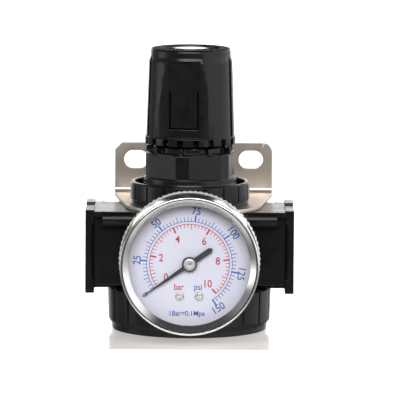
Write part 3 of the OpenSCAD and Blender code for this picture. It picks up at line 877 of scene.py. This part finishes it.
@dataclass
class BonnetAndKnob:
    """The threaded bonnet, its bracket nut, the push-to-lock knob and its top."""

    ring_height: float = 85.8
    mark_radius: float = 7.55
    mark_size: float = 1.7
    stroke: float = 0.42
    minus_angle: float = -62.0
    plus_angle: float = -138.0
    arrow_ends: tuple[float, float] = (-117.0, -83.0)
    arrow_size: float = 0.75
    film: float = 0.02
    top_low: float = 84.0
    top_slope: float = 0.8

    def build(self, frame: Frame) -> None:
        """Builds the bonnet, nut, knob, badge and the marks on the knob's ring."""
        SoftCopy("bonnet", "threaded_bonnet", MOULDED_NYLON, edge=0.22).build(frame)
        SoftCopy("ring_nut", "grip_nut", MOULDED_NYLON, edge=0.14).build(frame)
        knob = SoftCopy("knob", "grip_knob", KNOB_PLASTIC, edge=0.1).build(frame)
        self.matt_top(knob)
        SoftCopy("knob_badge", "spun_badge", BADGE_METAL, edge=0.1).build(frame)
        self.marks()

    def matt_top(self, knob: Object) -> None:
        """Gives the knob's top faces the coarser texture of their mould face."""
        knob.data.materials.append(KNOB_TOP.material())
        for face in knob.data.polygons:
            if face.normal.z > self.top_slope and face.center.z > self.top_low * MM:
                face.material_index = 1

    def bar(self, length: float, angle: float) -> Object:
        """Draws one stroke of a mark at its place on the ring."""
        choose()
        bpy.ops.mesh.primitive_plane_add(size=MM)
        made = bpy.context.object
        made.scale = (length, self.stroke, 1)
        made.rotation_euler = (0, 0, math.radians(angle))
        settle(made)
        return made

    def marks(self) -> Object:
        """Prints a plus, a minus and a two-ended arrow on the sunk ring."""
        parts: list[Object] = []
        for angle, strokes in ((self.minus_angle, (0.0,)), (self.plus_angle, (0.0, 90.0))):
            for turn in strokes:
                bar = self.bar(self.mark_size, turn + angle + 90)
                place = Vector(
                    (math.cos(math.radians(angle)), math.sin(math.radians(angle)), 0)
                )
                bar.data.transform(Matrix.Translation(place * self.mark_radius * MM))
                parts.append(bar)
        first, last = self.arrow_ends
        parts.append(band(self.mark_radius, self.stroke, first, last, steps=16))
        for end, turn in ((first, math.pi), (last, 0)):
            choose()
            bpy.ops.mesh.primitive_circle_add(
                vertices=3, radius=self.arrow_size * MM, fill_type="NGON", rotation=(0, 0, turn)
            )
            head = bpy.context.object
            settle(head)
            head.data.transform(
                Matrix.Rotation(math.radians(end), 4, "Z")
                @ Matrix.Translation((self.mark_radius * MM, 0, 0))
            )
            parts.append(head)
        made = joined("knob_marks", parts)
        made.data.transform(Matrix.Translation((0, 0, (self.ring_height + self.film) * MM)))
        made.data.transform(Matrix.Rotation(math.radians(CLOCKING), 4, "Z"))
        apply_modifier(made, "SOLIDIFY", thickness=self.film * MM, offset=0.0)
        return finished(made, WHITE_INK, "knob")


class Line(Enum):
    """The kinds of line on a scale."""

    LONG = "long"
    MIDDLE = "middle"
    SHORT = "short"


@dataclass(frozen=True)
class Scale:
    """One printed scale of the dial: its arc and how its lines are drawn."""

    ink: Finish
    arc_radius: float
    arc_width: float
    arc_start: float
    arc_end: float
    lines: dict[Line, tuple[float, float, float]]
    numeral_height: float
    numeral_squeeze: float


# Each line's low end, high end and width.
PSI_SCALE = Scale(
    BLUE_INK, 12.9, 0.18, -57.7, 213.6,
    {Line.LONG: (12.8, 14.9, 0.46), Line.MIDDLE: (12.8, 14.6, 0.22), Line.SHORT: (12.8, 14.1, 0.2)},
    2.3, 0.9,
)
BAR_SCALE = Scale(
    RED_INK, 12.05, 0.2, -47.8, 213.6,
    {Line.LONG: (10.2, 12.1, 0.5), Line.MIDDLE: (10.5, 12.1, 0.22), Line.SHORT: (11.0, 12.1, 0.2)},
    2.35, 0.88,
)


@dataclass
class Gauge:
    """The pressure gauge: case, crimped bezel, printed dial and pointer."""

    face: float = 38.6
    cap_face: float = 40.45
    film: float = 0.02
    zero: float = 222.6
    bar_step: float = 27.04
    psi_step: float = 1.864
    font_share: float = 0.73
    ink_spread: float = 0.03
    word_height: float = 1.95
    punch_radius: float = 0.3
    punch_depth: float = 1.6
    outer: float = 21.0
    front: float = 45.0
    back: float = 31.4
    edge: float = 0.55
    notches: int = 82
    notch_depth: float = 0.55
    notch_power: int = 4

    def build(self, frame: Frame) -> None:
        """Builds the bezel, the print, the pointer and the softened small parts."""
        SoftCopy("gauge_case", "drawn_case", CASE_PAINT, edge=0.12).build(frame)
        SoftCopy("gauge_stem", "brass_stem", BRASS, edge=0.15).build(frame)
        SoftCopy("dial_screws", "pan_head_screws", DIAL_SCREW_STEEL, edge=0.08).build(frame)
        SoftCopy("pointer", "needle", POINTER_PAINT, edge=0.08).build(frame)
        SoftCopy("pointer_cap", "needle_cap", POINTER_CAP, edge=0.08).build(frame, self.centre_mark)
        self.bezel()
        self.blue_print()
        self.red_print()

    def centre_mark(self, cap: Object) -> None:
        """Sinks the punched centre mark of the pointer's cap."""
        choose()
        bpy.ops.mesh.primitive_cylinder_add(
            vertices=24, radius=self.punch_radius * MM, depth=self.punch_depth * MM
        )
        punch = bpy.context.object
        punch.data.transform(
            Matrix.Translation((0, -self.cap_face * MM, PORT_Z * MM))
            @ Matrix.Rotation(math.radians(90), 4, "X")
        )
        cut(cap, punch)

    def bezel(self) -> Object:
        """Spins the bezel's profile and rolls its notched rear edge."""
        outer, front, back, edge = self.outer, self.front, self.back, self.edge
        profile = [(20.25, back + 0.2), (20.9, back), (21.25, back + 0.05), (21.45, back + 0.35)]
        profile += [(21.45, back + 1.05), (21.25, back + 1.3), (21.0, back + 1.45)]
        for step in range(7):
            turn = math.radians(step * 15)
            profile.append(
                (outer - edge + edge * math.cos(turn), front - edge + edge * math.sin(turn))
            )
        profile += [(20.38, front - 0.02), (20.34, front - 0.3), (20.14, front - 0.32)]
        profile += [(20.1, front - 0.12), (19.9, front - 0.28), (18.3, front - 1.78)]
        profile += [(18.3, 43.1), (19.55, 43.1), (19.55, 39.35), (20.25, 39.35)]
        profile += [(20.25, back + 0.2)]
        made = spun("crimped_bezel", profile, steps=self.notches * 4)
        for vertex in made.data.vertices:
            radius = vertex.co.xy.length
            if radius > 21.2 * MM and vertex.co.z < (back + 1.2) * MM:
                turn = math.atan2(vertex.co.y, vertex.co.x) * self.notches
                share = (0.5 + 0.5 * math.cos(turn)) ** self.notch_power
                pinch = self.notch_depth * MM * share
                vertex.co.xy *= (radius - pinch) / radius
        finished(made, BEZEL_CHROME, "housing", "gauge_bezel")
        for finish in (ROLLED_EDGE, CASE_PAINT):
            made.data.materials.append(finish.material())
        for face in made.data.polygons:
            radius = face.center.xy.length
            if radius > 20.95 * MM and face.center.z < (back + 1.5) * MM:
                face.material_index = 1
            # The faces of the thin groove behind the front ring take the black case enamel: painted
            # shade, a dark line standing in for the shadow in the gap between the rolled ring and
            # the inner ring.
            elif 20.13 * MM < radius < 20.36 * MM and face.center.z > (front - 0.5) * MM:
                face.material_index = 2
        made.data.transform(GAUGE_FRAME)
        smooth(made, 40)
        return made

    def tick(self, angle: float, low: float, high: float, width: float) -> Object:
        """Draws one radial line of a scale."""
        choose()
        bpy.ops.mesh.primitive_plane_add(size=1, location=((low + high) / 2 * MM, 0, 0))
        made = bpy.context.object
        made.scale = ((high - low) * MM, width * MM, 1)
        settle(made)
        made.data.transform(Matrix.Rotation(math.radians(angle), 4, "Z"))
        return made

    def lettering(
        self, text: str, height: float, place: tuple[float, float], turn: float = 0.0,
        squeeze: float = 0.84,
    ) -> Object:
        """Writes a word or number, centred on its place on the dial.

        Args:
            text: The characters.
            height: Height of a digit in millimetres.
            place: Right and up from the dial's centre, in millimetres.
            turn: Turn of the text in degrees.
            squeeze: Width of the characters as a share of their usual width.

        Returns:
            The text as a flat mesh.
        """
        choose()
        bpy.ops.object.text_add()
        made = bpy.context.object
        made.data.body = text
        made.data.align_x = "CENTER"
        made.data.size = height / self.font_share
        made.data.offset = self.ink_spread
        bpy.ops.object.convert(target="MESH")
        made = bpy.context.object
        made.data.transform(
            Matrix.Translation((place[0] * MM, place[1] * MM, 0))
            @ Matrix.Rotation(math.radians(turn), 4, "Z")
            @ Matrix.Diagonal((squeeze * MM, MM, MM, 1))
            @ Matrix.Translation((0, -height / 2, 0))
        )
        return made

    def printed(self, name: str, parts: list[Object], finish: Finish) -> Object:
        """Joins one ink's lines and letters into a thin film on the dial."""
        made = joined(name, parts)
        made.data.transform(Matrix.Translation((0, 0, (self.face + self.film) * MM)))
        made.data.transform(GAUGE_FRAME)
        apply_modifier(made, "SOLIDIFY", thickness=self.film * MM, offset=0.0)
        return finished(made, finish, "housing")

    def at(self, radius: float, angle: float) -> tuple[float, float]:
        """Returns the point at that radius and angle on the dial."""
        turn = math.radians(angle)
        return (radius * math.cos(turn), radius * math.sin(turn))

    def line(self, scale: Scale, kind: Line, angle: float) -> Object:
        """Draws one line of that kind on a scale."""
        return self.tick(angle, *scale.lines[kind])

    def scale_arc(self, scale: Scale) -> Object:
        """Draws the arc line that a scale's lines stand on."""
        return band(
            scale.arc_radius, scale.arc_width, scale.arc_start, scale.arc_end, steps=90
        )

    def blue_print(self) -> Object:
        """Prints the outer scale in pounds per square inch, with its words."""
        scale = PSI_SCALE
        height, squeeze = scale.numeral_height, scale.numeral_squeeze
        parts = [self.scale_arc(scale)]
        for pressure in [5 + 2.5 * k for k in range(59)]:
            kind = Line.SHORT
            if pressure % 25 == 0:
                kind = Line.LONG
            elif pressure % 12.5 == 0:
                kind = Line.MIDDLE
            parts.append(self.line(scale, kind, self.zero - self.psi_step * pressure))
        for value, radius in {25: 15.95, 50: 16.05, 75: 16.25, 100: 16.4, 125: 16.05}.items():
            angle = self.zero - self.psi_step * value
            spot = self.at(radius, angle)
            parts.append(self.lettering(str(value), height, spot, angle - 90, squeeze))
        last = self.zero - self.psi_step * 150
        parts.append(self.lettering("150", height, self.at(15.85, last), last + 90, squeeze))
        parts.append(self.lettering("0", 1.9, self.at(16.2, 215.0), -50))
        parts.append(self.lettering("psi", self.word_height, (2.6, -6.9), squeeze=0.88))
        parts.append(self.lettering("1Bar=0.1Mpa", 1.6, (-0.8, -14.95), squeeze=0.93))
        return self.printed("blue_scale", parts, scale.ink)

    def red_print(self) -> Object:
        """Prints the inner scale in bar, with its numbers and unit."""
        scale = BAR_SCALE
        height, squeeze = scale.numeral_height, scale.numeral_squeeze
        parts = [self.scale_arc(scale)]
        for fifths in range(2, 51):
            kind = Line.SHORT
            if fifths % 10 == 0:
                kind = Line.LONG
            elif fifths % 5 == 0:
                kind = Line.MIDDLE
            parts.append(self.line(scale, kind, self.zero - self.bar_step * fifths / 5))
        numbers = {0: (8.1, 209.0), 2: (8.8, 167.5), 4: (8.4, 115.4)}
        numbers |= {6: (8.3, 58.0), 8: (8.6, 6.9), 10: (8.0, -47.5)}
        for value, (radius, angle) in numbers.items():
            spot = self.at(radius, angle)
            parts.append(self.lettering(str(value), height, spot, squeeze=squeeze))
        parts.append(self.lettering("bar", self.word_height, (-3.2, -6.9), squeeze=0.84))
        return self.printed("red_scale", parts, scale.ink)


@dataclass
class CoilSpring:
    """A round-wire compression spring with closed ends."""

    name: str
    node: str
    joint: str
    radius: float
    wire: float
    low: float
    high: float
    turns: float
    travel: float
    dead: float = 0.75
    sides: int = 14
    turn_steps: int = 32

    def rise(self, share: float) -> float:
        """Returns the wire's height at that share of the spring's turns."""
        turn = share * self.turns
        free = self.high - self.low - self.wire
        if turn < self.dead:
            return self.wire * turn
        if turn > self.turns - self.dead:
            return free - self.wire * (self.turns - turn)
        open_height = free - 2 * self.wire * self.dead
        return self.wire * self.dead + (turn - self.dead) * open_height / (
            self.turns - 2 * self.dead
        )

    def build(self) -> Object:
        """Winds the wire and closes its ends."""
        choose()
        bpy.ops.mesh.primitive_circle_add(
            vertices=self.sides,
            radius=self.wire / 2 * MM,
            fill_type="NOTHING",
            location=(self.radius * MM, 0, 0),
            rotation=(math.radians(90), 0, 0),
        )
        made = bpy.context.object
        made.name = made.data.name = self.name
        settle(made)
        steps = round(self.turns * self.turn_steps)
        apply_modifier(
            made,
            "SCREW",
            axis="Z",
            steps=steps,
            render_steps=steps,
            angle=math.tau * self.turns,
            screw_offset=0.0,
            use_merge_vertices=False,
        )
        for index, vertex in enumerate(made.data.vertices):
            rise = self.rise(index // self.sides / steps)
            vertex.co.z += (self.low + self.wire / 2 + rise) * MM
        with editing(made, "EDGE"):
            bpy.ops.mesh.select_all(action="DESELECT")
            bpy.ops.mesh.select_non_manifold()
            bpy.ops.mesh.edge_face_add()
            bpy.ops.mesh.select_all(action="SELECT")
            bpy.ops.mesh.normals_make_consistent(inside=False)
        smooth(made, 50)
        finished(made, SPRING_STEEL, "housing", self.node)
        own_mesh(made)
        return made


# ---------------------------------------------------------------- studio


@dataclass
class Studio:
    """The camera, a white sheet to stand on and soft light round the object.

    Lengths here are metres, apart from the camera's lens and sensor.
    """

    distance: float = 1.5
    pitch: float = 7.0
    roll: float = 0.35
    aim_height: float = 0.039645
    lens: float = 437.32
    shift_x: float = 0.02525
    sensor: float = 36.0
    target: tuple[float, float, float] = (0.0, 0.0, 0.04)
    surround: float = 0.08

    def camera(self) -> None:
        """Sets the camera in front, a little above the object."""
        data = bpy.data.cameras.new("camera")
        data.sensor_width = self.sensor
        data.lens = self.lens
        data.shift_x = self.shift_x
        data.clip_start, data.clip_end = 0.05, 50
        made = bpy.data.objects.new("camera", data)
        bpy.context.scene.collection.objects.link(made)
        down = math.radians(self.pitch)
        made.matrix_world = (
            Matrix.Translation(
                (
                    0,
                    -self.distance * math.cos(down),
                    self.aim_height + self.distance * math.sin(down),
                )
            )
            @ Matrix.Rotation(math.radians(90) - down, 4, "X")
            @ Matrix.Rotation(math.radians(self.roll), 4, "Z")
        )
        bpy.context.scene.camera = made

    def floor(self) -> None:
        """Lays the white sheet, whose front and left edges are close to the object."""
        choose()
        bpy.ops.mesh.primitive_plane_add(size=1, location=(0.9, 1.15, 0))
        made = bpy.context.object
        made.name = made.data.name = "floor"
        made.scale = (2.2, 2.7, 1)
        settle(made)
        made.data.materials.append(FLOOR.material())

    def softbox(
        self, name: str, place: tuple[float, float, float], size: tuple[float, float], watts: float
    ) -> None:
        """Hangs one softbox that faces the object.

        Args:
            name: Name of the light.
            place: Its middle, in metres.
            size: Its width and height, in metres.
            watts: Its power.
        """
        data = bpy.data.lights.new(name, "AREA")
        data.shape = "RECTANGLE"
        data.size, data.size_y = size
        data.energy = watts
        made = bpy.data.objects.new(name, data)
        bpy.context.scene.collection.objects.link(made)
        made.location = place
        aim = Vector(self.target) - Vector(place)
        made.rotation_euler = aim.to_track_quat("-Z", "Y").to_euler()

    def lights(self) -> None:
        """Hangs the one softbox, in front and above."""
        self.softbox("key_box", (-0.05, -1.1, 0.66), (1.3, 0.6), 15.0)

    def world(self) -> None:
        """Surrounds the object with light behind and right, grey left and dark in front."""
        world = bpy.data.worlds.new("studio")
        bpy.context.scene.world = world
        world.use_nodes = True
        tree = world.node_tree
        tree.nodes.clear()
        place = add(tree, "ShaderNodeTexCoord").outputs["Generated"]
        way = add(tree, "ShaderNodeSeparateXYZ", {0: place})

        def share(axis: str, low: float, high: float) -> Socket:
            """Rises from 0 to 1 as the direction's part along an axis goes from low to high."""
            return add(
                tree,
                "ShaderNodeMapRange",
                {"Value": way.outputs[axis], "From Min": low, "From Max": high},
                interpolation_type="SMOOTHSTEP",
            ).outputs[0]

        def over(under: Any, upper: float, factor: Socket) -> Socket:
            """Lays a grey over what is there."""
            mixed = add(tree, "ShaderNodeMix", {0: factor, 2: under, 3: upper}, data_type="FLOAT")
            return mixed.outputs[0]

        left_wall = (0.26, "X", -0.35, -0.8)
        left_panel = (1.6, "X", -0.955, -0.985)
        right_wall = (1.3, "X", 0.44, 0.68)
        back_wall = (2.2, "Y", 0.8, 0.95)
        ceiling = (0.06, "Z", 0.5, 0.85)
        level: Any = self.surround
        for strength, axis, start, full in (left_wall, left_panel, right_wall, back_wall, ceiling):
            level = over(level, strength, share(axis, start, full))
        seen = add(tree, "ShaderNodeLightPath").outputs["Is Camera Ray"]
        level = over(level, 1.0, seen)
        light = add(tree, "ShaderNodeBackground", {"Color": linear("#ffffff"), "Strength": level})
        add(tree, "ShaderNodeOutputWorld", {"Surface": light.outputs[0]})

    def build(self) -> None:
        """Builds the whole studio."""
        self.camera()
        self.floor()
        self.lights()
        self.world()
        bpy.context.scene.view_settings.view_transform = "Standard"


def dress_nodes(frame: Frame) -> None:
    """Gives every CAD node that is shown as it is its finish and smooth shading."""
    for name, finish in NODE_FINISHES.items():
        node = frame["nodes"][name]
        node.data.materials.clear()
        node.data.materials.append(finish.material())
        smooth(node, 35)
        LOG.info("%s: CAD node in %s", name, finish.name)


def main() -> None:
    """Builds the studio and every sub-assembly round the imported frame."""
    logging.basicConfig(level=logging.INFO, format="%(name)s: %(message)s")
    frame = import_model()
    Studio().build()
    Housing().build(frame)
    BonnetAndKnob().build(frame)
    SoftCopy("bracket", "wall_bracket", BRACKET_STEEL, edge=0.18).build(frame)
    Gauge().build(frame)
    CoilSpring("main_coil", "main_spring", "seat_travel", 6.6, 2.0, 35.25, 63.45, 7.5, 6.3).build()
    CoilSpring("valve_coil", "valve_spring", "valve_lift", 4.2, 0.8, 9.55, 18.35, 6.0, 1.5).build()
    dress_nodes(frame)


if __name__ == "__main__":
    main()
